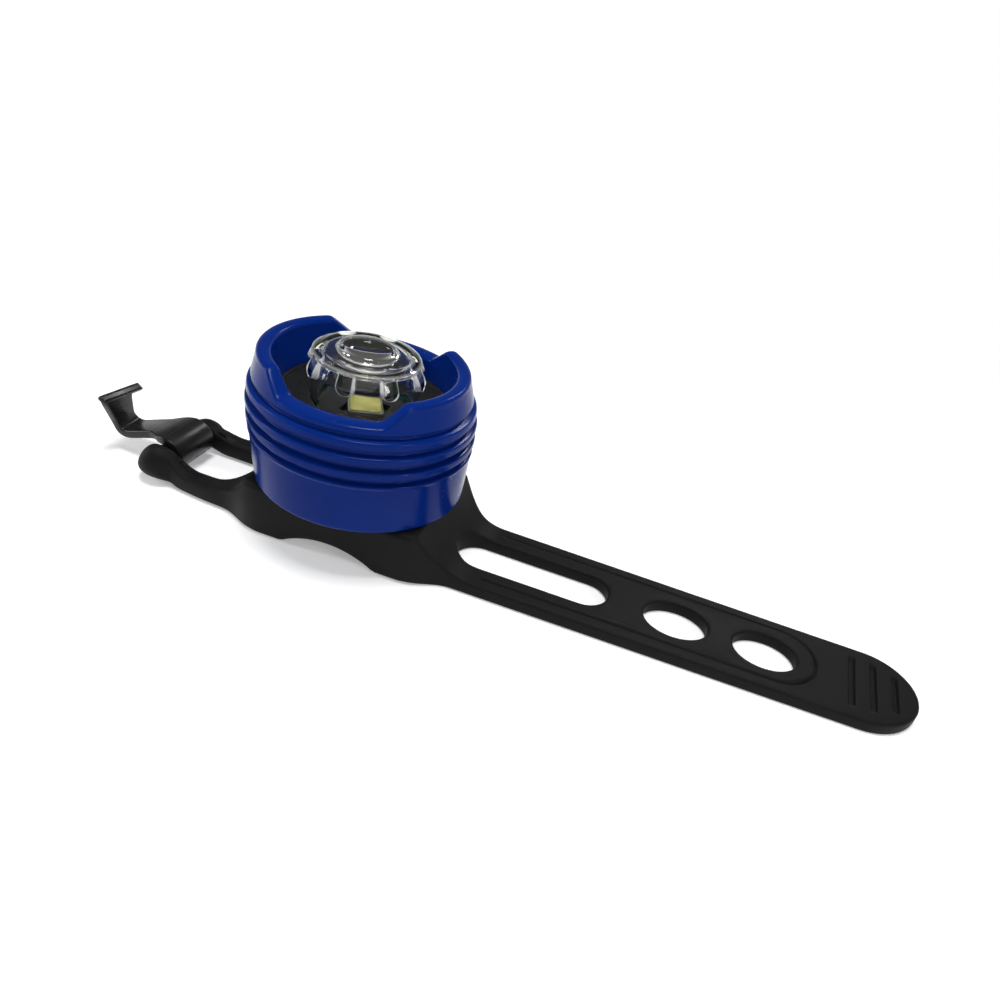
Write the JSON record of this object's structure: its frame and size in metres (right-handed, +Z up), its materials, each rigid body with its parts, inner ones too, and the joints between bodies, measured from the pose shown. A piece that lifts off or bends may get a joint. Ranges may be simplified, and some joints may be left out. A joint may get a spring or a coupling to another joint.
{
  "type": "bicycle headlight",
  "caption": "Round clip-on bicycle headlight with a press lens, a screw-on grooved housing and a rubber strap with a hook, slot and holes for a handlebar.",
  "frame": {"origin": "on the lamp's axis, in the plane of the saddle's two feet, in the mouth of the arch that takes the handlebar", "axes": "+Z up along the lamp's axis, +X along the strap towards its free tip, +Y along the handlebar"},
  "size_m": [0.1263, 0.0302, 0.0282],
  "materials": {
    "strap_rubber": "satin moulded silicone",
    "hook_plastic": "satin moulded plastic",
    "black_plastic": "matte moulded plastic",
    "contact_metal": "nickel plated sheet",
    "cell_metal": "brushed steel can",
    "seal_rubber": "matte rubber",
    "housing_blue": "glossy coloured plastic",
    "gasket_rubber": "satin rubber",
    "lens_clear": "clear polished plastic",
    "board": "solder mask",
    "screw_metal": "steel",
    "led_white": "white moulded plastic",
    "led_yellow": "yellow phosphor in clear resin",
    "switch_body": "tinned cover",
    "chip_black": "epoxy"
  },
  "bodies": {
    "carrier": {"strap": "strap_rubber", "base_plug": "black_plastic", "lower_contact": "contact_metal", "cell_cradle": "black_plastic", "cell_lower": "cell_metal", "cell_upper": "cell_metal"},
    "hook_body": {"hook": "hook_plastic"},
    "seal_body": {"seal_ring": "seal_rubber"},
    "lamp_head": {"housing": "housing_blue", "lens_gasket": "gasket_rubber", "circuit_board": "board", "board_screws": "screw_metal", "board_mask": "black_plastic", "led_body": "led_white", "led_phosphor": "led_yellow", "switch_body": "switch_body", "driver_chip": "chip_black", "resistors": "chip_black", "centre_leaf": "contact_metal", "outer_leaf": "contact_metal"},
    "lens_body": {"lens": "lens_clear", "switch_plunger": "black_plastic"}
  },
  "joints": [
    {"name": "hook_swing", "type": "hinge", "parent": "carrier", "child": "hook_body", "pos_m": [-0.0286, 0, 0.0031], "axis": [0, 1, 0], "range_deg": [-14, 110]},
    {"name": "housing_lift", "type": "slide", "parent": "carrier", "child": "seal_body", "axis": [0, 0, 1], "range_m": [0, 0.004]},
    {"name": "housing_turn", "type": "hinge", "parent": "seal_body", "child": "lamp_head", "pos_m": [0, 0, 0.01], "axis": [0, 0, 1], "range_deg": [0, 720]},
    {"name": "lens_press", "type": "slide", "parent": "lamp_head", "child": "lens_body", "axis": [0, 0, -1], "range_m": [0, 0.00045], "stiffness_N_per_m": 1500, "springref_m": -0.001}
  ],
  "couplings": [
    {"joint": "housing_lift", "follows": "housing_turn", "m_per_rad": 0.0003183}
  ]
}
